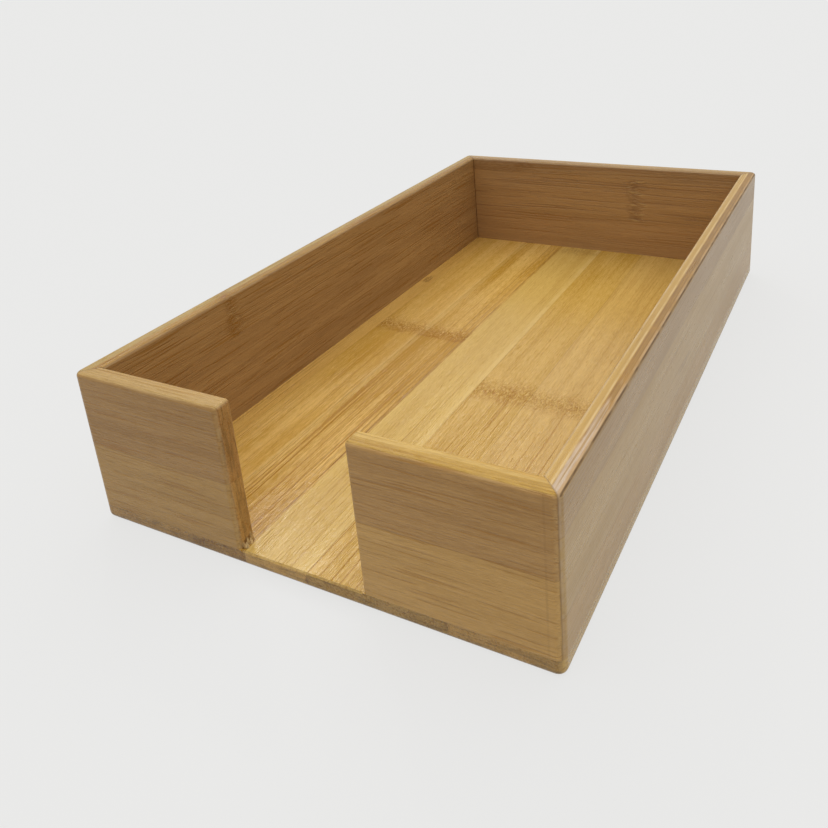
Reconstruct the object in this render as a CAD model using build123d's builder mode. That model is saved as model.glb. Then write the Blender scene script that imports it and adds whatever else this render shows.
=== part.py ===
from build123d import *
import os

# Open bamboo tray for folded napkins, in millimetres. The notched end faces -Y, +Z is up,
# and the origin is at the middle of the underside.

# ---- overall sizes
tray_width = 130.0
tray_depth = 223.0
tray_height = 43.5

# ---- board thicknesses
wall_thickness = 5.3
floor_thickness = 4.3

# ---- finger notch in the middle of the front, open from the rim down to the floor
notch_width = 35.0

# ---- sanded edges
corner_radius = 2.2
rim_radius = 1.0
notch_edge_radius = 1.3
underside_radius = 1.6
sill_chamfer = 0.4

# ---- floor board: whole slats between two slats that were trimmed at the board's sides
floor_whole_slats = 6
floor_left_slat_width = 11.5
floor_right_slat_width = 7.5

# ---- walls: heights of the slats that were trimmed at the bottom and the top of each board
left_wall_bottom_slat_height = 6.7
left_wall_top_slat_height = 13.5
right_wall_bottom_slat_height = 10.2
right_wall_top_slat_height = 10.0
back_wall_bottom_slat_height = 15.0
back_wall_top_slat_height = 5.2

# ---- front panels: two slats each, one glue line
front_left_bottom_slat_height = 18.7
front_right_bottom_slat_height = 19.7

# ---- how far a cutting outline runs past the board that it divides
overrun = 2.0

# ---- worked out from the above
half_width = tray_width / 2
half_depth = tray_depth / 2
half_notch = notch_width / 2
wall_height = tray_height - floor_thickness
inner_width = tray_width - 2 * wall_thickness
inner_depth = tray_depth - 2 * wall_thickness
floor_slat_width = (tray_width - floor_left_slat_width - floor_right_slat_width) / floor_whole_slats

os.makedirs("parts", exist_ok=True)


def write_piece(piece, node_name):
    """Labels a finished piece and writes it to its own file."""
    piece.part.label = node_name
    export_step(piece.part, f"parts/{node_name}.step")


# ---- the floor: one board of slats glued edge to edge, the full outline of the tray


def floor_board():
    """The floor board as it is after sanding, before it is divided into its slats."""
    with BuildPart() as board:
        with BuildSketch(Plane.XY):
            RectangleRounded(tray_width, tray_depth, corner_radius)
        extrude(amount=floor_thickness)
        fillet(board.faces().sort_by(Axis.Z)[0].edges(), radius=underside_radius)
        # the sill of the notch is eased where fingers and napkins pass over it
        with BuildSketch(Plane.YZ.offset(-half_notch)):
            with BuildLine():
                Polyline(
                    (-half_depth, floor_thickness),
                    (-half_depth + sill_chamfer, floor_thickness),
                    (-half_depth, floor_thickness - sill_chamfer),
                    close=True,
                )
            make_face()
        extrude(amount=notch_width, mode=Mode.SUBTRACT)
    return board.part


def floor_slat(board, left_x, right_x):
    """The part of the floor board between two glue lines."""
    with BuildPart() as slat:
        add(board)
        with BuildSketch(Plane.XY.offset(-overrun)):
            with Locations(((left_x + right_x) / 2, 0)):
                Rectangle(right_x - left_x, tray_depth + 2 * overrun)
        extrude(amount=floor_thickness + 2 * overrun, mode=Mode.INTERSECT)
    return slat


floor = floor_board()
first_glue_line = -half_width + floor_left_slat_width
floor_glue_lines = [first_glue_line + i * floor_slat_width for i in range(floor_whole_slats + 1)]
floor_lines = [-half_width - overrun] + floor_glue_lines + [half_width + overrun]
for number in range(1, len(floor_lines)):
    slat = floor_slat(floor, floor_lines[number - 1], floor_lines[number])
    write_piece(slat, f"floor_slat_{number}")


# ---- the walls: boards of slats that stand on the floor board, mitred at the four corners


def wall_shell():
    """All the walls together as they are after sanding, before the mitres and glue lines."""
    with BuildPart() as shell:
        with BuildSketch(Plane.XY.offset(floor_thickness)):
            RectangleRounded(tray_width, tray_depth, corner_radius)
            Rectangle(inner_width, inner_depth, mode=Mode.SUBTRACT)
            with Locations((0, -half_depth)):
                Rectangle(notch_width, 2 * wall_thickness + overrun, mode=Mode.SUBTRACT)
        extrude(amount=wall_height)
        upright_edges = shell.edges().filter_by(Axis.Z)
        fillet(upright_edges.filter_by_position(Axis.X, -notch_width, notch_width), notch_edge_radius)
        fillet(shell.faces().sort_by(Axis.Z)[-1].edges(), rim_radius)
    return shell.part


def wall_slat(shell, plan, bottom_z, top_z):
    """The part of the walls inside one board's mitred outline, between two glue lines."""
    with BuildPart() as slat:
        add(shell)
        with BuildSketch(Plane.XY.offset(bottom_z)):
            with BuildLine():
                Polyline(*plan, close=True)
            make_face()
        extrude(amount=top_z - bottom_z, mode=Mode.INTERSECT)
    return slat


def write_wall(shell, name, plan, glue_lines, slat_names):
    """Cuts one wall into its slats at the heights of its glue lines, and writes them."""
    heights = [floor_thickness - overrun] + glue_lines + [tray_height + overrun]
    for level, slat_name in enumerate(slat_names):
        slat = wall_slat(shell, plan, heights[level], heights[level + 1])
        write_piece(slat, f"{name}_{slat_name}")


# outlines in plan: each mitre runs at 45 degrees through an outer and an inner corner
outer_x = half_width + overrun
outer_y = half_depth + overrun
inner_x = half_width - wall_thickness - overrun
inner_y = half_depth - wall_thickness - overrun
left_plan = [(-outer_x, -outer_y), (-inner_x, -inner_y), (-inner_x, inner_y), (-outer_x, outer_y)]
right_plan = [(outer_x, -outer_y), (outer_x, outer_y), (inner_x, inner_y), (inner_x, -inner_y)]
back_plan = [(-outer_x, outer_y), (-inner_x, inner_y), (inner_x, inner_y), (outer_x, outer_y)]
front_left_plan = [(-outer_x, -outer_y), (0, -outer_y), (0, -inner_y), (-inner_x, -inner_y)]
front_right_plan = [(outer_x, -outer_y), (inner_x, -inner_y), (0, -inner_y), (0, -outer_y)]

three_slats = ["bottom_slat", "middle_slat", "top_slat"]
two_slats = ["bottom_slat", "top_slat"]
walls = wall_shell()

# left wall
left_glue_lines = [
    floor_thickness + left_wall_bottom_slat_height,
    tray_height - left_wall_top_slat_height,
]
write_wall(walls, "left_wall", left_plan, left_glue_lines, three_slats)

# right wall
right_glue_lines = [
    floor_thickness + right_wall_bottom_slat_height,
    tray_height - right_wall_top_slat_height,
]
write_wall(walls, "right_wall", right_plan, right_glue_lines, three_slats)

# back wall
back_glue_lines = [
    floor_thickness + back_wall_bottom_slat_height,
    tray_height - back_wall_top_slat_height,
]
write_wall(walls, "back_wall", back_plan, back_glue_lines, three_slats)

# front panels, one on each side of the notch
front_left_glue_lines = [floor_thickness + front_left_bottom_slat_height]
write_wall(walls, "front_left_panel", front_left_plan, front_left_glue_lines, two_slats)
front_right_glue_lines = [floor_thickness + front_right_bottom_slat_height]
write_wall(walls, "front_right_panel", front_right_plan, front_right_glue_lines, two_slats)
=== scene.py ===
import bpy
import math
from mathutils import Matrix, Vector


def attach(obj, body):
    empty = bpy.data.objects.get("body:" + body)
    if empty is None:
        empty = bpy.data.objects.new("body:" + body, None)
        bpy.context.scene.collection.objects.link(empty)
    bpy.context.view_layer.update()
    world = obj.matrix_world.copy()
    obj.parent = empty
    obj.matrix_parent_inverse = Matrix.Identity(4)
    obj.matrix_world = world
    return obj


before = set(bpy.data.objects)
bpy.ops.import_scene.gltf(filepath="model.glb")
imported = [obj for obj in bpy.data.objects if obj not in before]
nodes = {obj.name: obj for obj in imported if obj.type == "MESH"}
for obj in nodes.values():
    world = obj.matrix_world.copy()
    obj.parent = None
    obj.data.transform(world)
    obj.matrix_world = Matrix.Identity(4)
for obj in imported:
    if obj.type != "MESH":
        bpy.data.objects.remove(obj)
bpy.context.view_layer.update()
bpy.ops.object.select_all(action="DESELECT")

# ---------------------------------------------------------------------------------------------
# Floor board
# The real floor is a bamboo board about 4 mm thick, glued up from strips 18.5 mm wide that run
# from front to back, sanded flat and finished with a clear satin lacquer. Each strip comes from
# another cane, so each has a tone of its own, and a knuckle shows as a mottled brown band.

MM = 1000.0  # the patterns are drawn in millimetres, the mesh is in metres
HALF_WIDTH = 65.0  # from the middle of the tray to its sides
HALF_DEPTH = 111.5  # from the middle of the tray to its ends
FLOOR_TOP = 4.3
X, Y, Z = 0, 1, 2
ALONG, ACROSS, THROUGH = 0, 1, 2  # directions in a board: along its grain, across, through it


def feed(tree, socket, value):
    """Links a node's output to a socket, or sets the socket to a plain value."""
    if isinstance(value, bpy.types.NodeSocket):
        tree.links.new(value, socket)
    elif value is not None:
        socket.default_value = value


def calculate(tree, operation, *values, clamp=False):
    """A Math node. Returns its result."""
    node = tree.nodes.new("ShaderNodeMath")
    node.operation = operation
    node.use_clamp = clamp
    for socket, value in zip(node.inputs, values):
        feed(tree, socket, value)
    return node.outputs[0]


def vector_step(tree, operation, first, second=None):
    """A Vector Math node. Returns its result."""
    node = tree.nodes.new("ShaderNodeVectorMath")
    node.operation = operation
    feed(tree, node.inputs[0], first)
    feed(tree, node.inputs["Scale"] if operation == "SCALE" else node.inputs[1], second)
    return node.outputs["Value" if operation == "LENGTH" else "Vector"]


def parts_of(tree, vector):
    """The three parts of a vector."""
    split = tree.nodes.new("ShaderNodeSeparateXYZ")
    feed(tree, split.inputs[0], vector)
    return split.outputs


def vector_of(tree, *parts):
    """A vector made of three parts."""
    join = tree.nodes.new("ShaderNodeCombineXYZ")
    for socket, part in zip(join.inputs, parts):
        feed(tree, socket, part)
    return join.outputs[0]


def rise(tree, value, start, end, low=0.0, high=1.0):
    """Goes smoothly from low to high while the value goes from start to end."""
    node = tree.nodes.new("ShaderNodeMapRange")
    node.interpolation_type = "SMOOTHSTEP"
    for socket, number in zip(node.inputs, (value, start, end, low, high)):
        feed(tree, socket, number)
    return node.outputs[0]


def mix_colours(tree, amount, first, second, blend="MIX"):
    """Mixes two colours by an amount from 0 to 1."""
    node = tree.nodes.new("ShaderNodeMix")
    node.data_type = "RGBA"
    node.blend_type = blend
    feed(tree, node.inputs[0], amount)
    feed(tree, node.inputs[6], first)
    feed(tree, node.inputs[7], second)
    return node.outputs[2]


def speckle(tree, place, seed, sizes, detail=1.0, roughness=0.5, distortion=0.0):
    """Noise whose features have the given sizes in millimetres: along, across and through."""
    noise = tree.nodes.new("ShaderNodeTexNoise")
    noise.noise_dimensions = "4D"
    noise.inputs["Scale"].default_value = 1.0
    noise.inputs["Detail"].default_value = detail
    noise.inputs["Roughness"].default_value = roughness
    noise.inputs["Distortion"].default_value = distortion
    feed(tree, noise.inputs["Vector"], vector_step(tree, "DIVIDE", place, sizes))
    feed(tree, noise.inputs["W"], seed)
    return noise.outputs[0]


def swing(tree, value, size):
    """Turns noise from 0..1 into a swing of the given size to both sides of zero."""
    centred = calculate(tree, "SUBTRACT", value, 0.5)
    return calculate(tree, "MULTIPLY", centred, 2.0 * size)


def new_group(name, inputs, outputs):
    """A shader node group with named sockets. Returns it with its inner sockets."""
    group = bpy.data.node_groups.new(name, "ShaderNodeTree")
    kinds = {float: "NodeSocketFloat", tuple: "NodeSocketColor", str: "NodeSocketVector"}
    for socket_name, value in inputs:
        kind = kinds[type(value)]
        socket = group.interface.new_socket(name=socket_name, in_out="INPUT", socket_type=kind)
        if not isinstance(value, str):
            socket.default_value = value
    for socket_name, kind in outputs:
        group.interface.new_socket(
            name=socket_name, in_out="OUTPUT", socket_type="NodeSocket" + kind
        )
    return (
        group,
        group.nodes.new("NodeGroupInput").outputs,
        group.nodes.new("NodeGroupOutput").inputs,
    )


def use_group(tree, group, **values):
    """Places a group and feeds its inputs, whose names are given with _ for a space."""
    node = tree.nodes.new("ShaderNodeGroup")
    node.node_tree = group
    for socket_name, value in values.items():
        feed(tree, node.inputs[socket_name.replace("_", " ")], value)
    return node.outputs


# knuckle: where the cane had a joint, the fibres swirl and short dark dashes lie close together
knuckle, inside, outside = new_group(
    "Bamboo knuckle",
    [
        ("Place", "vector"),
        ("At", 0.0),
        ("Half Length", 4.0),
        ("Dash Length", 1.5),
        ("Dash Width", 0.5),
        ("Seed", 0.0),
    ],
    [
        ("Band", "Float"),
        ("Dashes", "Float"),
        ("Ticks", "Float"),
        ("Scar", "Float"),
        ("Before", "Float"),
        ("Bend", "Float"),
    ],
)
tree = knuckle
place = inside["Place"]
seed = inside["Seed"]

# the band wanders across the strip and has a ragged edge
wobble = 2.6
wave = swing(tree, speckle(tree, place, seed, (40.0, 6.5, 9.0), 2.0), 1.0)
ragged = swing(tree, speckle(tree, place, seed, (7.0, 1.5, 4.0), 2.0, 0.6), 0.6)
astray = calculate(tree, "MULTIPLY", calculate(tree, "ADD", wave, ragged), wobble)
centre = calculate(tree, "ADD", inside["At"], astray)
off_centre = calculate(tree, "SUBTRACT", parts_of(tree, place)[ALONG], centre)
share = calculate(tree, "DIVIDE", off_centre, inside["Half Length"])
band = rise(tree, calculate(tree, "ABSOLUTE", share), 1.2, 0.1)
front_half = calculate(tree, "ABSOLUTE", calculate(tree, "ADD", share, 0.45))
core = rise(tree, front_half, 1.0, 0.05, 0.35, 1.0)
feed(tree, outside["Band"], calculate(tree, "MULTIPLY", band, core))

# dark dashes with pale ticks between them
dash_sizes = vector_of(tree, inside["Dash Length"], inside["Dash Width"], 2.0)
dash_seed = calculate(tree, "ADD", seed, 4.0)
dash_noise = speckle(tree, place, dash_seed, dash_sizes, 3.0, 0.65, 0.5)
ticks = rise(tree, dash_noise, 0.46, 0.38)
feed(tree, outside["Ticks"], calculate(tree, "MULTIPLY", ticks, band))
dashes = calculate(tree, "MULTIPLY", rise(tree, dash_noise, 0.47, 0.57), core)
feed(tree, outside["Dashes"], calculate(tree, "MULTIPLY", dashes, band))

# a thin ruffled scar on the front side of the band, faint in places
ruffle = swing(tree, speckle(tree, place, dash_seed, (9.0, 1.3, 4.0), 2.0), 0.16)
off_scar = calculate(tree, "ADD", share, calculate(tree, "ADD", ruffle, 0.75))
scar = rise(tree, calculate(tree, "ABSOLUTE", off_scar), 0.2, 0.02)
faint = speckle(tree, place, dash_seed, (9.0, 4.0, 6.0), 1.0)
faint = rise(tree, faint, 0.36, 0.56, 0.15, 1.0)
feed(tree, outside["Scar"], calculate(tree, "MULTIPLY", scar, faint))

# in front of the band the cane is darker, which fades towards the front
before = rise(tree, off_centre, 1.0, -3.0)
fading = rise(tree, off_centre, -85.0, -15.0, 0.3, 1.0)
feed(tree, outside["Before"], calculate(tree, "MULTIPLY", before, fading))

# inside the band the fibres bend
swirl_seed = calculate(tree, "ADD", seed, 8.0)
swirl = swing(tree, speckle(tree, place, swirl_seed, (4.0, 3.0, 6.0), 1.0), 1.8)
feed(tree, outside["Bend"], calculate(tree, "MULTIPLY", swirl, band))

# grain: straight fibres, with broad soft bands, fine streaks, thin dark veins and open pores
grain, inside, outside = new_group(
    "Bamboo grain",
    [
        ("Place", "vector"),
        ("Bend", 0.0),
        ("Seed", 0.0),
        ("Streaks", 1.0),
        ("Coarse", 1.0),
        ("Flecks", 0.5),
        ("Swirled", 0.0),
        ("Vein Start", 0.63),
        ("Vein Length", 60.0),
    ],
    [("Tone", "Float"), ("Veins", "Float"), ("Pores", "Float"), ("Height", "Float")],
)
tree = grain
seed = inside["Seed"]
wander = swing(tree, speckle(tree, inside["Place"], seed, (70.0, 12.0, 12.0), 1.0), 0.9)
sideways = vector_of(tree, 0.0, calculate(tree, "ADD", wander, inside["Bend"]))
fibre = vector_step(tree, "ADD", inside["Place"], sideways)

# broad bands and clouds of tone
bands = speckle(tree, fibre, calculate(tree, "ADD", seed, 3.1), (170.0, 4.6, 7.0), 1.0)
clouds = speckle(tree, fibre, calculate(tree, "ADD", seed, 5.2), (38.0, 9.0, 9.0), 2.0)
broad = calculate(tree, "ADD", swing(tree, bands, 1.0), swing(tree, clouds, 0.7))
broad = calculate(tree, "MULTIPLY", broad, 0.8)

# fine streaks and threads, with short flecks that are stronger in a knuckle
streaks = speckle(tree, fibre, calculate(tree, "ADD", seed, 7.3), (46.0, 0.8, 0.8), 3.0, 0.65)
threads = speckle(tree, fibre, calculate(tree, "ADD", seed, 9.7), (34.0, 0.34, 0.36), 1.0)
threads = calculate(tree, "SUBTRACT", rise(tree, threads, 0.34, 0.66), 0.5)
combed = speckle(tree, fibre, calculate(tree, "ADD", seed, 15.0), (80.0, 3.6, 5.0), 1.0)
combed = rise(tree, combed, 0.36, 0.62, 0.3, 1.0)
threads = calculate(tree, "MULTIPLY", threads, combed)
threads = calculate(tree, "MULTIPLY", threads, 0.5)
fine = calculate(tree, "ADD", swing(tree, streaks, 0.6), threads)
fine = calculate(tree, "MULTIPLY", fine, inside["Coarse"])
fleck = speckle(tree, fibre, calculate(tree, "ADD", seed, 25.0), (3.6, 0.36, 0.36), 2.0, 0.7)
fleck_size = calculate(tree, "MULTIPLY", inside["Swirled"], 1.2)
fleck_size = calculate(tree, "ADD", fleck_size, 1.0)
fleck_size = calculate(tree, "MULTIPLY", fleck_size, inside["Flecks"])
fleck = calculate(tree, "MULTIPLY", swing(tree, fleck, 1.0), fleck_size)
fine = calculate(tree, "ADD", fine, fleck)
tone = calculate(tree, "ADD", broad, calculate(tree, "MULTIPLY", fine, inside["Streaks"]))
feed(tree, outside["Tone"], tone)

# veins and pores, which are a little hollow
vein_gap = 0.6
vein_sizes = vector_of(tree, inside["Vein Length"], vein_gap, vein_gap)
vein = speckle(tree, fibre, calculate(tree, "ADD", seed, 13.9), vein_sizes, 0.0)
vein_full = calculate(tree, "ADD", inside["Vein Start"], 0.07)
vein = rise(tree, vein, inside["Vein Start"], vein_full)
vein = calculate(tree, "MULTIPLY", vein, inside["Coarse"])
feed(tree, outside["Veins"], vein)
pores = speckle(tree, fibre, calculate(tree, "ADD", seed, 21.0), (5.5, 0.42, 0.5), 1.0)
pores = rise(tree, pores, 0.64, 0.74)
feed(tree, outside["Pores"], pores)
hollow = calculate(tree, "MULTIPLY", calculate(tree, "ADD", vein, pores), -0.7)
feed(tree, outside["Height"], calculate(tree, "ADD", fine, hollow))

# colour: from the deep to the pale tone by the grain, with brown veins, dashes and pores
tint, inside, outside = new_group(
    "Bamboo colour",
    [
        ("Pale", (0.62, 0.42, 0.15, 1.0)),
        ("Deep", (0.50, 0.30, 0.09, 1.0)),
        ("Brown", (0.26, 0.13, 0.035, 1.0)),
        ("Tone", 0.0),
        ("Veins", 0.0),
        ("Pores", 0.0),
        ("Dashes", 0.0),
        ("Ticks", 0.0),
        ("Band", 0.0),
        ("Scar", 0.0),
        ("Before", 0.0),
        ("Veins Strength", 0.3),
        ("Pores Strength", 0.3),
        ("Dashes Strength", 0.5),
        ("Scar Strength", 0.3),
        ("Before Strength", 0.0),
        ("Band Strength", 0.5),
    ],
    [("Colour", "Color")],
)
tree = tint
shade = calculate(tree, "MULTIPLY", inside["Before"], inside["Before Strength"])
level = calculate(tree, "ADD", inside["Tone"], 0.5)
level = calculate(tree, "SUBTRACT", level, shade, clamp=True)
base = mix_colours(tree, level, inside["Deep"], inside["Pale"])
darker = mix_colours(tree, 0.45, inside["Deep"], inside["Brown"])
amount = calculate(tree, "MULTIPLY", inside["Band"], inside["Band Strength"])
base = mix_colours(tree, amount, base, darker)
tick_strength = calculate(tree, "MULTIPLY", inside["Dashes Strength"], 0.6)
amount = calculate(tree, "MULTIPLY", inside["Ticks"], tick_strength)
base = mix_colours(tree, amount, base, (0.88, 0.62, 0.22, 1.0))
for feature in ("Veins", "Pores", "Dashes", "Scar"):
    strength = inside[feature + " Strength"]
    amount = calculate(tree, "MULTIPLY", inside[feature], strength, clamp=True)
    base = mix_colours(tree, amount, base, inside["Brown"])
feed(tree, outside["Colour"], base)

# cuts: a strip's outer and inner half differ in tone and its cut end shows the bundles; the walls'
# face tints paint shade and sheen
cuts, inside, outside = new_group(
    "Bamboo cuts",
    [
        ("Place", "vector"),
        ("Facing", "vector"),
        ("Half Way", 3.0),
        ("Seed", 0.0),
        ("Outer Face", (1.0, 1.0, 1.0, 1.0)),
        ("Inner Face", (1.0, 1.0, 1.0, 1.0)),
        ("Outer Edge", (1.0, 1.0, 1.0, 1.0)),
        ("Inner Edge", (1.0, 1.0, 1.0, 1.0)),
        ("Cut End", (1.0, 1.0, 1.0, 1.0)),
    ],
    [("Tint", "Color"), ("Eased", "Float"), ("Face", "Float")],
)
tree = cuts
place = inside["Place"]
seed = inside["Seed"]
facing = parts_of(tree, inside["Facing"])

# the outer and the inner half of the board, with a ragged line between them
ragged = swing(tree, speckle(tree, place, seed, (16.0, 3.0, 40.0), 2.0), 0.35)
depth = calculate(tree, "ADD", parts_of(tree, place)[THROUGH], ragged)
inner = rise(tree, calculate(tree, "SUBTRACT", depth, inside["Half Way"]), -0.2, 0.2)
edge = mix_colours(tree, inner, inside["Outer Edge"], inside["Inner Edge"])
face = mix_colours(tree, inner, inside["Outer Face"], inside["Inner Face"])
broad = rise(tree, facing[THROUGH], 0.45, 0.8)
side = mix_colours(tree, broad, edge, face)

# the cut end, with thin layers and the dots of the cut bundles
end = rise(tree, facing[ALONG], 0.6, 0.85)
layers = speckle(tree, place, seed, (30.0, 7.0, 0.55), 3.0, 0.6)
layers = rise(tree, layers, 0.42, 0.66, 0.0, 0.34)
dots = speckle(tree, place, calculate(tree, "ADD", seed, 2.0), (30.0, 0.5, 0.3), 0.0)
speckled = calculate(tree, "ADD", layers, rise(tree, dots, 0.62, 0.75, 0.0, 0.12))
dotted = mix_colours(tree, speckled, inside["Cut End"], (0.0, 0.0, 0.0, 1.0))
feed(tree, outside["Tint"], mix_colours(tree, end, side, dotted))
not_end = calculate(tree, "SUBTRACT", 1.0, end)
feed(tree, outside["Face"], calculate(tree, "MULTIPLY", broad, not_end))

# the eased edges, paler in some places than others: partly rubbed wear, partly painted highlight
largest = calculate(tree, "MAXIMUM", facing[ALONG], facing[ACROSS])
largest = calculate(tree, "MAXIMUM", largest, facing[THROUGH])
eased = rise(tree, largest, 0.985, 0.85)
patchy_edge = speckle(tree, place, calculate(tree, "ADD", seed, 6.0), (14.0, 3.0, 3.0), 2.0)
patchy_edge = rise(tree, patchy_edge, 0.4, 0.62, 0.3, 1.0)
feed(tree, outside["Eased"], calculate(tree, "MULTIPLY", eased, patchy_edge))

# glue: a thin brown line where two pieces meet, stronger in some places than in others
glue, inside, outside = new_group(
    "Glue line",
    [("Place", "vector"), ("Distance", 0.0), ("Width", 0.2), ("Seed", 0.0)],
    [("Line", "Float")],
)
tree = glue
off = calculate(tree, "ABSOLUTE", inside["Distance"])
line = rise(tree, calculate(tree, "DIVIDE", off, inside["Width"]), 1.0, 0.35)
uneven = speckle(tree, inside["Place"], inside["Seed"], (7.0, 7.0, 7.0), 2.0)
uneven = rise(tree, uneven, 0.3, 0.6, 0.35, 1.0)
feed(tree, outside["Line"], calculate(tree, "MULTIPLY", line, uneven))

# mark: one small stain, knot, bundle of dashes or painted highlight at its own place on a strip
mark, inside, outside = new_group(
    "Bamboo mark",
    [
        ("Place", "vector"),
        ("At", "vector"),
        ("Reach", "vector"),
        ("Dash Length", 2.6),
        ("Seed", 0.0),
    ],
    [("Mark", "Float")],
)
tree = mark
place = inside["Place"]
seed = inside["Seed"]
apart = vector_step(tree, "SUBTRACT", place, inside["At"])
share = vector_step(tree, "DIVIDE", apart, inside["Reach"])
distance = vector_step(tree, "LENGTH", share)
ragged = swing(tree, speckle(tree, place, seed, (7.0, 1.5, 1.5), 2.0), 0.7)
spot = rise(tree, calculate(tree, "ADD", distance, ragged), 1.0, 0.35)
dash_sizes = vector_of(tree, inside["Dash Length"], 0.5, 0.6)
dashed = speckle(tree, place, seed, dash_sizes, 2.0, 0.6)
dashed = rise(tree, dashed, 0.4, 0.58, 0.25, 1.0)
feed(tree, outside["Mark"], calculate(tree, "MULTIPLY", spot, dashed))

GLUE_WIDTH = 0.16
MITRE_WIDTH = 0.42
GLUE_BROWN = (0.17, 0.08, 0.022)
KNUCKLE_BROWN = (0.37, 0.145, 0.004)
PLAIN = (1.0, 1.0, 1.0)
NOWHERE = 999.0  # past the end of every strip, for a strip that has no knuckle


def bamboo(name, axes, face, look, joints=(), mitred=False):
    """A lacquered bamboo material for one strip, with the strip's own tones and knuckle.

    The axes are the tray's axes along, across and through the board, and face is where the
    board's outer face lies on the last of them.
    """
    material = bpy.data.materials.new(name)
    material.use_nodes = True
    tree = material.node_tree
    shader = tree.nodes["Principled BSDF"]
    seed = look["seed"]

    def in_board(vector):
        """A vector's parts in the order along the grain, across it and through the board."""
        parts = parts_of(tree, vector)
        return vector_of(tree, *(parts[axis] for axis in axes))

    def painted(part_name, usual):
        """The colour that the look gives to a part of the strip, or else the usual one."""
        return (*look.get(part_name, usual), 1.0)

    # where the surface lies in the board, with the depth counted from the board's outer face
    here = tree.nodes.new("ShaderNodeTexCoord")
    millimetres = vector_step(tree, "SCALE", here.outputs["Object"], MM)
    face_at = [0.0, 0.0, 0.0]
    face_at[axes[THROUGH]] = face
    from_face = vector_step(tree, "SUBTRACT", millimetres, tuple(face_at))
    inward = [1.0, 1.0, 1.0]
    inward[axes[THROUGH]] = -1.0 if face > 0.0 else 1.0
    place = in_board(vector_step(tree, "MULTIPLY", from_face, tuple(inward)))
    directions = parts_of(tree, place)
    normal = tree.nodes.new("ShaderNodeNewGeometry").outputs["Normal"]
    facing = in_board(vector_step(tree, "ABSOLUTE", normal))

    scar = use_group(
        tree,
        knuckle,
        Place=place,
        At=look.get("knuckle_at", NOWHERE),
        Half_Length=look.get("knuckle_half", 4.0),
        Dash_Length=look.get("dash_length", 1.5),
        Dash_Width=look.get("dash_width", 0.5),
        Seed=seed,
    )
    coarse = 1.0
    if "coarse" in look:
        front_end, back_end, least = look["coarse"]
        coarse = rise(tree, directions[ALONG], front_end, back_end, 1.0, least)
    lines = use_group(
        tree,
        grain,
        Place=place,
        Bend=scar["Bend"],
        Seed=seed,
        Streaks=look.get("streaks", 1.3),
        Coarse=coarse,
        Flecks=look.get("flecks", 0.5),
        Swirled=scar["Band"],
        Vein_Start=look.get("vein_start", 0.61),
        Vein_Length=look.get("vein_length", 50.0),
    )
    colour = use_group(
        tree,
        tint,
        Pale=(*look["pale"], 1.0),
        Deep=(*look["deep"], 1.0),
        Brown=painted("brown", KNUCKLE_BROWN),
        Tone=lines["Tone"],
        Veins=lines["Veins"],
        Pores=lines["Pores"],
        Ticks=scar["Ticks"],
        Dashes=scar["Dashes"],
        Band=scar["Band"],
        Scar=scar["Scar"],
        Before=scar["Before"],
        Veins_Strength=look.get("veins", 0.4),
        Pores_Strength=look.get("pores", 0.3),
        Dashes_Strength=look.get("dashes", 0.55),
        Scar_Strength=look.get("scar", 0.3),
        Before_Strength=look.get("before", 0.0),
        Band_Strength=look.get("band", 0.5),
    )["Colour"]
    cut = use_group(
        tree,
        cuts,
        Place=place,
        Facing=facing,
        Half_Way=look.get("half_way", 3.0),
        Seed=seed,
        Outer_Face=painted("outer_face", PLAIN),
        Inner_Face=painted("inner_face", PLAIN),
        Outer_Edge=painted("outer_edge", PLAIN),
        Inner_Edge=painted("inner_edge", PLAIN),
        Cut_End=painted("cut_end", (0.8, 0.74, 0.7)),
    )
    colour = mix_colours(tree, 1.0, colour, cut["Tint"], "MULTIPLY")
    # the eased edges are paled: partly rubbed wear, partly a painted highlight along them
    wear_and_highlight = calculate(tree, "MULTIPLY", cut["Eased"], look.get("wear_and_highlight_amount", 0.2))
    colour = mix_colours(tree, wear_and_highlight, colour, painted("wear_and_highlight", (0.74, 0.56, 0.30)))

    # the strip's own streaks and stains, and a few painted highlights: a streak lies on the
    # board's face or along its rim
    on_rim = rise(tree, parts_of(tree, facing)[ACROSS], 0.08, 0.3)
    for direction, at, width, strength, stain in look.get("lines", ()):
        gap = calculate(tree, "SUBTRACT", directions[direction], at)
        line = use_group(tree, glue, Place=place, Distance=gap, Width=width, Seed=seed)["Line"]
        amount = calculate(tree, "MULTIPLY", line, strength)
        place_of_line = on_rim if direction == THROUGH else cut["Face"]
        amount = calculate(tree, "MULTIPLY", amount, place_of_line)
        colour = mix_colours(tree, amount, colour, (*stain, 1.0))
    for count, (at, reach, dash_length, strength, stain) in enumerate(look.get("marks", ())):
        spot = use_group(
            tree, mark, Place=place, At=at, Reach=reach, Dash_Length=dash_length, Seed=seed + count
        )
        amount = calculate(tree, "MULTIPLY", spot["Mark"], strength)
        colour = mix_colours(tree, amount, colour, (*stain, 1.0))

    # glue lines: beside the next strip, and down the mitres of the walls
    glue_lines = []
    for joint in joints:
        gap = calculate(tree, "SUBTRACT", directions[ACROSS], joint)
        glue_lines.append((gap, GLUE_WIDTH, look.get("joint", 0.3)))
    if mitred:
        from_middle = parts_of(tree, vector_step(tree, "ABSOLUTE", millimetres))
        past_side = calculate(tree, "SUBTRACT", from_middle[X], HALF_WIDTH)
        past_end = calculate(tree, "SUBTRACT", from_middle[Y], HALF_DEPTH)
        gap = calculate(tree, "SUBTRACT", past_side, past_end)
        glue_lines.append((gap, MITRE_WIDTH, look.get("mitre", 0.75)))
    for gap, width, strength in glue_lines:
        line = use_group(tree, glue, Place=place, Distance=gap, Width=width, Seed=seed)["Line"]
        amount = calculate(tree, "MULTIPLY", line, strength)
        colour = mix_colours(tree, amount, colour, (*GLUE_BROWN, 1.0))

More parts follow.
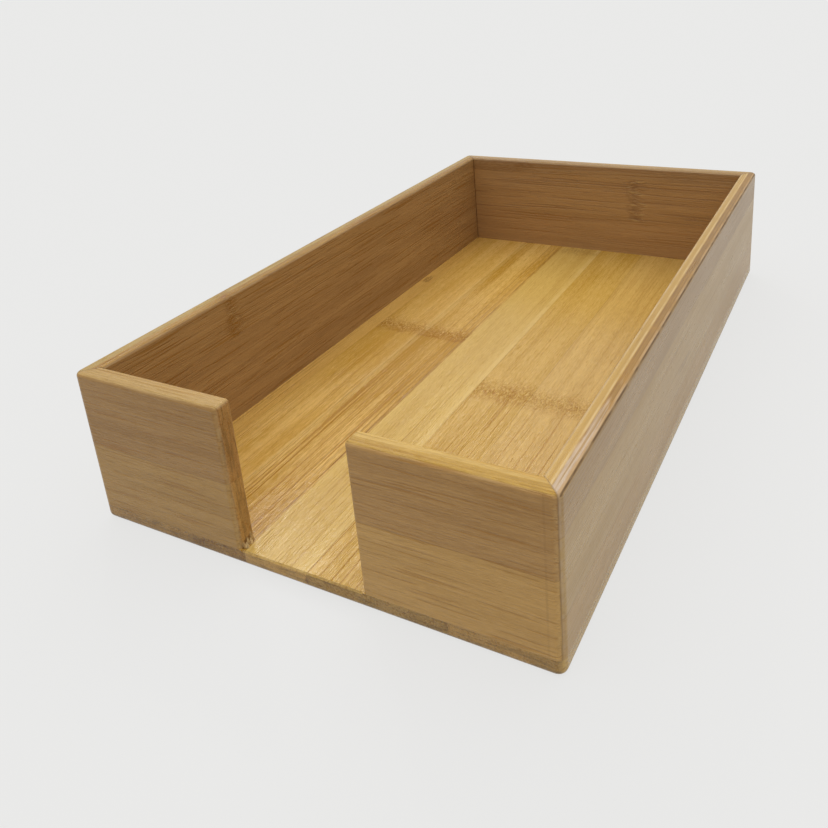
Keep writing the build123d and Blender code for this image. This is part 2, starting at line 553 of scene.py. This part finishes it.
    # a thin satin lacquer that follows the fibres
    feed(tree, shader.inputs["Base Color"], colour)
    rough = look.get("rough", 0.32)
    gloss = rise(tree, lines["Tone"], -1.0, 1.0, rough + 0.05, rough - 0.05)
    gloss = calculate(tree, "ADD", gloss, calculate(tree, "MULTIPLY", cut["Eased"], 0.28))
    feed(tree, shader.inputs["Roughness"], gloss)
    shader.inputs["IOR"].default_value = 1.47
    shader.inputs["Specular IOR Level"].default_value = look.get("shine", 0.5)
    shader.inputs["Coat Weight"].default_value = 0.03
    shader.inputs["Coat Roughness"].default_value = 0.2
    bump = tree.nodes.new("ShaderNodeBump")
    bump.inputs["Strength"].default_value = look.get("relief", 0.6)
    bump.inputs["Distance"].default_value = 0.00017
    dents = calculate(tree, "SUBTRACT", scar["Ticks"], scar["Dashes"])
    dents = calculate(tree, "MULTIPLY", dents, 0.45)
    feed(tree, bump.inputs["Height"], calculate(tree, "ADD", lines["Height"], dents))
    feed(tree, shader.inputs["Normal"], bump.outputs[0])
    return material


def dress(node_name, material):
    """Gives a CAD piece its material."""
    slots = nodes[node_name].data.materials
    slots.clear()
    slots.append(material)


# A strip's lines are: direction, place, width, strength and colour. Its marks are: place and
# reach along, across and through the board, length of the dashes, strength and colour. A place
# counts from the tray's middle or up from its underside, and through a board from its outer face.
PALE_STREAK = (0.80, 0.58, 0.22)
DARK_STREAK = (0.24, 0.105, 0.02)
DASH_LENGTH = 2.6

# coarse: where the streaks start to fade towards the back, where they end, and what is left
floor_coat = {"rough": 0.2, "shine": 0.38, "flecks": 0.8, "coarse": (-45.0, -5.0, 0.4)}
end_left = (0.72, 0.64, 0.52)
floor_strips = {
    "floor_slat_1": {
        "seed": 1.0,
        "pale": (0.74, 0.45, 0.115),
        "deep": (0.60, 0.335, 0.07),
        "marks": [((52.0, -57.5, FLOOR_TOP), (4.5, 2.2, 2.0), DASH_LENGTH, 0.8, DARK_STREAK)],
        "cut_end": end_left,
        **floor_coat,
    },
    "floor_slat_2": {
        "seed": 2.0,
        "pale": (0.79, 0.50, 0.145),
        "deep": (0.57, 0.315, 0.045),
        "knuckle_at": 11.0,
        "knuckle_half": 7.0,
        "dashes": 0.8,
        "scar": 0.4,
        "band": 0.5,
        "before": 0.38,
        "veins": 0.3,
        "lines": [(ACROSS, -35.5, 0.7, 0.3, PALE_STREAK)],
        "cut_end": end_left,
        **floor_coat,
    },
    "floor_slat_3": {
        "seed": 3.0,
        "pale": (0.77, 0.49, 0.14),
        "deep": (0.48, 0.25, 0.02),
        "knuckle_at": 10.0,
        "knuckle_half": 6.5,
        "dashes": 0.85,
        "scar": 0.7,
        "band": 0.55,
        "before": 0.5,
        "veins": 0.6,
        "vein_length": 90.0,
        "vein_start": 0.59,
        "lines": [
            (ACROSS, -17.2, 0.5, 0.6, DARK_STREAK),
            (ACROSS, -19.2, 0.3, 0.4, DARK_STREAK),
            (ACROSS, -21.5, 0.35, 0.4, DARK_STREAK),
            (ACROSS, -33.8, 0.8, 0.25, PALE_STREAK),
        ],
        "cut_end": end_left,
        **floor_coat,
    },
    "floor_slat_4": {
        "seed": 4.0,
        "pale": (0.70, 0.47, 0.13),
        "deep": (0.57, 0.355, 0.08),
        "veins": 0.3,
        "lines": [(ACROSS, 1.0, 1.3, 0.4, PALE_STREAK)],
        "marks": [
            ((102.0, -7.0, FLOOR_TOP), (6.0, 13.0, 2.0), DASH_LENGTH, 0.35, DARK_STREAK),
            ((-111.5, 2.0, 2.2), (2.0, 0.8, 1.6), DASH_LENGTH, 0.9, DARK_STREAK),
        ],
        "cut_end": (0.98, 0.85, 0.75),
        **floor_coat,
    },
    "floor_slat_5": {
        "seed": 5.0,
        "pale": (0.67, 0.425, 0.11),
        "deep": (0.50, 0.285, 0.035),
        "knuckle_at": -20.0,
        "knuckle_half": 9.0,
        "dashes": 0.7,
        "scar": 0.2,
        "band": 0.22,
        "veins": 0.5,
        "streaks": 1.6,
        "marks": [((-111.5, 2.0, 2.2), (2.0, 0.8, 1.6), DASH_LENGTH, 0.9, DARK_STREAK)],
        **floor_coat,
    },
    "floor_slat_6": {
        "seed": 6.0,
        "pale": (0.69, 0.445, 0.125),
        "deep": (0.54, 0.325, 0.075),
        "knuckle_at": -21.0,
        "knuckle_half": 9.0,
        "dashes": 0.6,
        "scar": 0.1,
        "band": 0.08,
        "dash_length": 1.1,
        "veins": 0.5,
        "streaks": 1.6,
        **floor_coat,
    },
    "floor_slat_7": {
        "seed": 7.0,
        "pale": (0.69, 0.445, 0.125),
        "deep": (0.54, 0.325, 0.075),
        "joint": 0.12,
        "cut_end": (0.95, 0.86, 0.84),
        **floor_coat,
    },
    "floor_slat_8": {
        "seed": 8.0,
        "pale": (0.68, 0.43, 0.12),
        "deep": (0.54, 0.32, 0.075),
        "joint": 0.12,
        **floor_coat,
    },
}


def dress_board(strips, axes, face, joints, mitred):
    """Gives the strips of a board, in the order of the glue lines between them, their looks."""
    for number, (node_name, look) in enumerate(strips.items()):
        name = "bamboo " + node_name.replace("_", " ")
        beside = joints[max(number - 1, 0) : number + 1]
        dress(node_name, bamboo(name, axes, face, look, beside, mitred))


floor_glue_lines = [-53.5, -35.0, -16.5, 2.0, 20.5, 39.0, 57.5]
dress_board(floor_strips, (Y, X, Z), 0.0, floor_glue_lines, mitred=False)

# ---------------------------------------------------------------------------------------------
# Left wall
# A board of three bamboo strips, 5.3 mm thick, glued on edge along the floor board and mitred
# at its ends. Its sanded rim shows two layers of the cane, the inner one a deeper gold.

left_cut = {
    "shine": 0.35,
    "pores": 0.5,
    "veins": 0.5,
    "vein_length": 26.0,
    # the inner face, inside the tray, is tinted darker and bluer: painted shade
    "inner_face": (0.74, 0.76, 0.85),
    "outer_edge": (0.85, 0.96, 0.66),
    "inner_edge": (0.74, 0.66, 0.14),
}
left_strips = {
    "left_wall_bottom_slat": {
        "seed": 11.0,
        "pale": (0.60, 0.345, 0.12),
        "deep": (0.48, 0.26, 0.085),
        **left_cut,
    },
    "left_wall_middle_slat": {
        "seed": 12.0,
        "pale": (0.60, 0.35, 0.125),
        "deep": (0.46, 0.25, 0.085),
        **left_cut,
    },
    "left_wall_top_slat": {
        "seed": 13.0,
        "pale": (0.60, 0.345, 0.12),
        "deep": (0.45, 0.245, 0.08),
        "knuckle_at": -59.0,
        "knuckle_half": 4.5,
        "dash_length": 4.0,
        "dashes": 0.6,
        "scar": 0.0,
        **left_cut,
    },
}
left_glue_lines = [11.0, 30.0]
dress_board(left_strips, (Y, Z, X), -HALF_WIDTH, left_glue_lines, mitred=True)

# ---------------------------------------------------------------------------------------------
# Right wall
# The same kind of board as the left wall, of three strips and 5.3 mm thick. It is mitred and
# glued to the floor board in the same way, and fine brown layers show along its sanded rim.

right_cut = {
    "rough": 0.3,
    "shine": 0.35,
    "veins": 0.15,
    "mitre": 0.5,
    "streaks": 1.0,
    "relief": 0.3,
    # the eased edges are paled pinkish: partly wear, partly a painted highlight
    "wear_and_highlight_amount": 0.5,
    "wear_and_highlight": (0.60, 0.45, 0.31),
    "half_way": 2.5,
    # the brown lines are layers of the cane; the pale ones are partly pale layers, partly painted
    # highlight
    "lines": [
        (THROUGH, 0.24, 0.21, 0.8, (0.12, 0.06, 0.02)),
        (THROUGH, 0.65, 0.35, 0.3, (0.78, 0.58, 0.36)),
        (THROUGH, 1.1, 0.16, 0.6, (0.20, 0.10, 0.02)),
        (THROUGH, 1.5, 0.5, 0.7, (0.32, 0.17, 0.03)),
        (THROUGH, 2.2, 0.4, 0.75, (0.27, 0.13, 0.02)),
        (THROUGH, 2.9, 0.35, 0.3, (0.95, 0.75, 0.42)),
        (THROUGH, 4.7, 0.5, 0.25, (0.95, 0.75, 0.42)),
    ],
    # the outer face is tinted greyer and a little blue: a painted sheen of the pale room
    "outer_face": (0.80, 0.77, 0.90),
    "outer_edge": (0.68, 0.55, 0.25),
    "inner_edge": (0.88, 0.84, 0.64),
}
RIM = 43.5
right_strips = {
    "right_wall_bottom_slat": {
        "seed": 21.0,
        "pale": (0.72, 0.45, 0.12),
        "deep": (0.62, 0.38, 0.09),
        **right_cut,
    },
    "right_wall_middle_slat": {
        "seed": 22.0,
        "pale": (0.74, 0.49, 0.145),
        "deep": (0.64, 0.41, 0.11),
        "marks": [((-12.0, 20.0, 0.0), (9.0, 1.6, 2.0), DASH_LENGTH, 0.35, DARK_STREAK)],
        **right_cut,
    },
    "right_wall_top_slat": {
        "seed": 23.0,
        "pale": (0.64, 0.40, 0.115),
        "deep": (0.53, 0.325, 0.09),
        "marks": [
            # a pale pinkish streak along the front of the rim: a painted highlight
            ((-100.0, RIM, 1.5), (32.0, 0.8, 1.4), 30.0, 0.5, (0.86, 0.72, 0.57)),
            ((20.0, RIM, 1.5), (90.0, 1.5, 1.5), 12.0, 0.5, (0.22, 0.11, 0.02)),
        ],
        **right_cut,
    },
}
right_glue_lines = [14.5, 33.5]
dress_board(right_strips, (Y, Z, X), HALF_WIDTH, right_glue_lines, mitred=True)

# ---------------------------------------------------------------------------------------------
# Back wall
# A board of three bamboo strips, 5.3 mm thick, that stands between the mitres of the side walls.
# It is glued to them and down on the floor board, and its middle strip has a knuckle.

back_cut = {
    # the inner face, inside the tray, is tinted darker and bluer: painted shade
    "inner_face": (0.79, 0.82, 0.95),
    "outer_edge": (0.93, 1.0, 0.74),
    "inner_edge": (0.77, 0.75, 0.45),
}
back_strips = {
    "back_wall_bottom_slat": {
        "seed": 31.0,
        "pale": (0.62, 0.35, 0.125),
        "deep": (0.52, 0.28, 0.095),
        **back_cut,
    },
    "back_wall_middle_slat": {
        "seed": 32.0,
        "pale": (0.62, 0.355, 0.125),
        "deep": (0.52, 0.285, 0.095),
        "knuckle_at": 18.0,
        "knuckle_half": 5.0,
        "dash_length": 4.5,
        "dash_width": 0.8,
        "scar": 0.1,
        "band": 0.25,
        "brown": (0.26, 0.12, 0.04),
        **back_cut,
    },
    "back_wall_top_slat": {
        "seed": 33.0,
        "pale": (0.57, 0.33, 0.12),
        "deep": (0.44, 0.24, 0.085),
        "marks": [
            ((-52.0, 41.0, 5.3), (27.0, 12.0, 2.5), DASH_LENGTH, 0.4, DARK_STREAK),
            ((-33.5, 41.0, 5.3), (6.0, 3.0, 2.5), DASH_LENGTH, 0.5, DARK_STREAK),
        ],
        **back_cut,
    },
}
back_glue_lines = [19.3, 38.3]
dress_board(back_strips, (X, Z, Y), HALF_DEPTH, back_glue_lines, mitred=True)

# ---------------------------------------------------------------------------------------------
# Front panel left of the notch
# A short bamboo board of two strips, mitred to the left wall and glued down on the floor board.
# Its free end is one side of the finger notch, and the edges there are sanded round.

front_cut = {"shine": 0.35, "veins": 0.36, "vein_length": 22.0, "flecks": 1.0}
front_left_cut = {
    # the eased edges are paled: partly wear, partly a painted highlight
    "wear_and_highlight_amount": 0.25,
    "outer_face": (0.98, 0.94, 0.88),
    "outer_edge": (1.13, 1.24, 1.18),
    "inner_edge": (1.15, 1.24, 1.18),
    "cut_end": (1.10, 1.05, 1.1),
    **front_cut,
}
front_left_strips = {
    "front_left_panel_bottom_slat": {
        "seed": 41.0,
        "pale": (0.565, 0.34, 0.105),
        "deep": (0.465, 0.27, 0.078),
        "marks": [((-17.5, 5.6, 2.6), (1.5, 1.3, 2.8), DASH_LENGTH, 0.8, (0.16, 0.07, 0.018))],
        **front_left_cut,
    },
    "front_left_panel_top_slat": {
        "seed": 42.0,
        "pale": (0.49, 0.28, 0.088),
        "deep": (0.395, 0.215, 0.062),
        **front_left_cut,
    },
}
dress_board(front_left_strips, (X, Z, Y), -HALF_DEPTH, [23.0], mitred=True)

# ---------------------------------------------------------------------------------------------
# Torn fibres
# At the foot of the left panel's notch end the saw tore some of the bamboo. Seven short slivers
# stand up there in the corner between the panel and the floor board, stuck in the glue.

torn_look = {
    "seed": 47.0,
    "pale": (0.74, 0.52, 0.22),
    "deep": (0.40, 0.23, 0.07),
    "streaks": 2.5,
    "relief": 0.9,
}
torn_finish = bamboo("torn bamboo fibres", (Z, X, Y), -HALF_DEPTH, torn_look)
slivers = [
    # x, y, width, depth and height in millimetres, lean and twist in degrees
    (-17.3, -110.4, 0.5, 0.7, 1.5, 24.0, 10.0),
    (-17.2, -109.6, 0.4, 0.6, 1.0, 34.0, -25.0),
    (-17.3, -108.9, 0.5, 0.5, 2.0, 15.0, 35.0),
    (-17.1, -108.2, 0.4, 0.6, 1.3, 30.0, -10.0),
    (-17.3, -107.6, 0.5, 0.6, 2.5, 12.0, 20.0),
    (-16.7, -109.9, 0.6, 0.9, 0.5, 8.0, 40.0),
    (-16.8, -108.4, 0.5, 0.8, 0.6, 12.0, -35.0),
]
sliver_foot = 4.2  # they are sunk a little into the glue on the floor board

# one rough sliver, narrowed and bent to one side at its top
bpy.ops.object.select_all(action="DESELECT")
bpy.ops.mesh.primitive_cube_add(size=1.0)
sliver = bpy.context.object
bpy.ops.object.mode_set(mode="EDIT")
bpy.ops.mesh.select_all(action="SELECT")
bpy.ops.mesh.subdivide(number_cuts=2, fractal=0.25, seed=5)
bpy.ops.mesh.select_all(action="DESELECT")
bpy.ops.object.mode_set(mode="OBJECT")
for corner in sliver.data.vertices:
    corner.select = corner.co.z > 0.3
bpy.ops.object.mode_set(mode="EDIT")
bpy.ops.transform.resize(value=(0.35, 0.5, 1.0), center_override=(0.1, 0.0, 0.5))
bpy.ops.transform.translate(value=(0.15, 0.1, 0.1))
bpy.ops.object.mode_set(mode="OBJECT")

# its copies, each at its own size, lean and twist, joined into one piece
torn = []
for x, y, width, depth, height, lean, twist in slivers:
    copy = bpy.data.objects.new("torn fibre", sliver.data.copy())
    bpy.context.scene.collection.objects.link(copy)
    copy.scale = (width / MM, depth / MM, height / MM)
    copy.rotation_euler = (0.0, math.radians(-lean), math.radians(twist))
    copy.location = (x / MM, y / MM, (sliver_foot + 0.5 * height) / MM)
    torn.append(copy)
bpy.data.objects.remove(sliver)
bpy.ops.object.select_all(action="DESELECT")
for copy in torn:
    copy.select_set(True)
fibres = torn[0]
bpy.context.view_layer.objects.active = fibres
bpy.ops.object.join()
fibres.name = "torn_fibres"
bpy.ops.object.transform_apply(location=True, rotation=True, scale=True)
bpy.ops.object.shade_smooth_by_angle(angle=math.radians(50.0))
fibres.data.materials.append(torn_finish)
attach(fibres, "root")

# ---------------------------------------------------------------------------------------------
# Front panel right of the notch
# A short bamboo board of two strips like the left one, mitred to the right wall and glued down
# on the floor board. Its free end is the other side of the finger notch.

front_right_cut = {
    "mitre": 0.42,
    "lines": [(ALONG, 61.8, 0.35, 0.18, DARK_STREAK)],
    "outer_edge": (1.0, 1.04, 0.48),
    "inner_edge": (1.3, 1.5, 1.2),
    **front_cut,
}
front_right_strips = {
    "front_right_panel_bottom_slat": {
        "seed": 43.0,
        "pale": (0.70, 0.415, 0.13),
        "deep": (0.58, 0.33, 0.095),
        **front_right_cut,
    },
    "front_right_panel_top_slat": {
        "seed": 44.0,
        "pale": (0.56, 0.315, 0.10),
        "deep": (0.44, 0.235, 0.07),
        **front_right_cut,
    },
}
dress_board(front_right_strips, (X, Z, Y), -HALF_DEPTH, [24.0], mitred=True)

# ---------------------------------------------------------------------------------------------
# Studio
# A plain pale table under the tray, soft light from all round, and the glint of two windows. The
# table top is open where the tray hides it, so that the underside can be seen from below.

bpy.ops.object.select_all(action="DESELECT")
bpy.ops.mesh.primitive_plane_add(size=1.0, location=(0.0, 0.0, -0.00005))
table = bpy.context.object
table.scale = (0.122, 0.215, 1.0)
bpy.ops.object.transform_apply(location=True, rotation=True, scale=True)
bpy.ops.object.mode_set(mode="EDIT")
bpy.ops.mesh.select_all(action="SELECT")
bpy.ops.mesh.inset(thickness=0.0005)
bpy.ops.mesh.delete(type="FACE")
bpy.ops.object.mode_set(mode="OBJECT")
opening_x = 0.0608
opening_y = 0.1073
for corner in table.data.vertices:
    corner.select = max(abs(corner.co.x) / opening_x, abs(corner.co.y) / opening_y) > 1.0
bpy.ops.object.mode_set(mode="EDIT")
bpy.ops.transform.resize(value=(200.0, 112.0, 1.0), center_override=(0.0, 0.0, 0.0))
bpy.ops.object.mode_set(mode="OBJECT")
table.name = "table"

# the table takes the tray's shadow, and is paler to the camera than it is to the tray
backdrop = (0.82, 0.82, 0.82 * 0.99, 1.0)
table_finish = bpy.data.materials.new("pale table")
table_finish.use_nodes = True
tree = table_finish.node_tree
matte = tree.nodes["Principled BSDF"]
matte.inputs["Base Color"].default_value = (0.5, 0.5, 0.5, 1.0)
matte.inputs["Roughness"].default_value = 0.9
matte.inputs["Specular IOR Level"].default_value = 0.0
white = tree.nodes.new("ShaderNodeEmission")
white.inputs["Strength"].default_value = 1.09
path = tree.nodes.new("ShaderNodeLightPath")
in_lacquer = (0.76, 0.78, 0.78, 1.0)
shown = mix_colours(tree, path.outputs["Is Glossy Ray"], backdrop, in_lacquer)
feed(tree, white.inputs["Color"], shown)
seen = calculate(tree, "ADD", path.outputs["Is Camera Ray"], path.outputs["Is Glossy Ray"])
seen = calculate(tree, "ADD", seen, path.outputs["Is Transmission Ray"], clamp=True)
paler = tree.nodes.new("ShaderNodeMixShader")
feed(tree, paler.inputs[0], calculate(tree, "MULTIPLY", seen, 0.8))
feed(tree, paler.inputs[1], matte.outputs[0])
feed(tree, paler.inputs[2], white.outputs[0])
feed(tree, tree.nodes["Material Output"].inputs["Surface"], paler.outputs[0])
table.data.materials.append(table_finish)

# weak light from all round, and the backdrop behind the table
world = bpy.data.worlds.new("studio")
bpy.context.scene.world = world
world.use_nodes = True
tree = world.node_tree
sky = tree.nodes["Background"]
sky.inputs["Color"].default_value = (0.97, 0.98, 1.0, 1.0)
sky.inputs["Strength"].default_value = 0.40
seen_sky = tree.nodes.new("ShaderNodeBackground")
seen_sky.inputs["Color"].default_value = backdrop
path = tree.nodes.new("ShaderNodeLightPath")
seen = calculate(tree, "ADD", path.outputs["Is Camera Ray"], path.outputs["Is Transmission Ray"])
mixed = tree.nodes.new("ShaderNodeMixShader")
feed(tree, mixed.inputs[0], calculate(tree, "MINIMUM", seen, 1.0))
feed(tree, mixed.inputs[1], sky.outputs[0])
feed(tree, mixed.inputs[2], seen_sky.outputs[0])
feed(tree, tree.nodes["World Output"].inputs["Surface"], mixed.outputs[0])

# a wide soft ceiling light, a weaker one behind the tray, and two windows that glint on it
lamps = {
    "soft ceiling light": {"energy": 1.55, "angle": 105.0, "from": (0.08, 0.0, 1.0)},
    "soft light behind": {"energy": 0.55, "angle": 70.0, "from": (-0.50, 0.83, 0.95)},
    "left window": {"energy": 0.19, "angle": 5.0, "from": (-0.55, 0.55, 0.63)},
    "back window": {"energy": 0.055, "angle": 5.0, "from": (-0.30, 0.72, 0.62)},
}
for lamp_name, lamp in lamps.items():
    bpy.ops.object.light_add(type="SUN")
    light = bpy.context.object
    light.name = lamp_name
    light.data.energy = lamp["energy"]
    light.data.angle = math.radians(lamp["angle"])
    light.data.color = (1.0, 0.985, 0.96)
    light.rotation_mode = "QUATERNION"
    light.rotation_quaternion = Vector(lamp["from"]).to_track_quat("Z", "Y")

# the camera stands where the photograph's did, in front of the notch, above it and to its right
camera_data = bpy.data.cameras.new("camera")
camera = bpy.data.objects.new("camera", camera_data)
bpy.context.scene.collection.objects.link(camera)
right = Vector((0.88577, 0.45914, -0.06778))
up = Vector((-0.09814, 0.32804, 0.93955))
back = Vector((0.45362, -0.82558, 0.33563))
turn = Matrix((right, up, back)).transposed().to_4x4()
camera.matrix_world = Matrix.Translation((0.11131, -0.22756, 0.13880)) @ turn
camera_data.sensor_width = 36.0
camera_data.lens = 35.93
camera_data.shift_x = -0.0501
camera_data.shift_y = -0.2138
camera_data.clip_start = 0.01
bpy.context.scene.camera = camera

bpy.context.scene.view_settings.view_transform = "Standard"
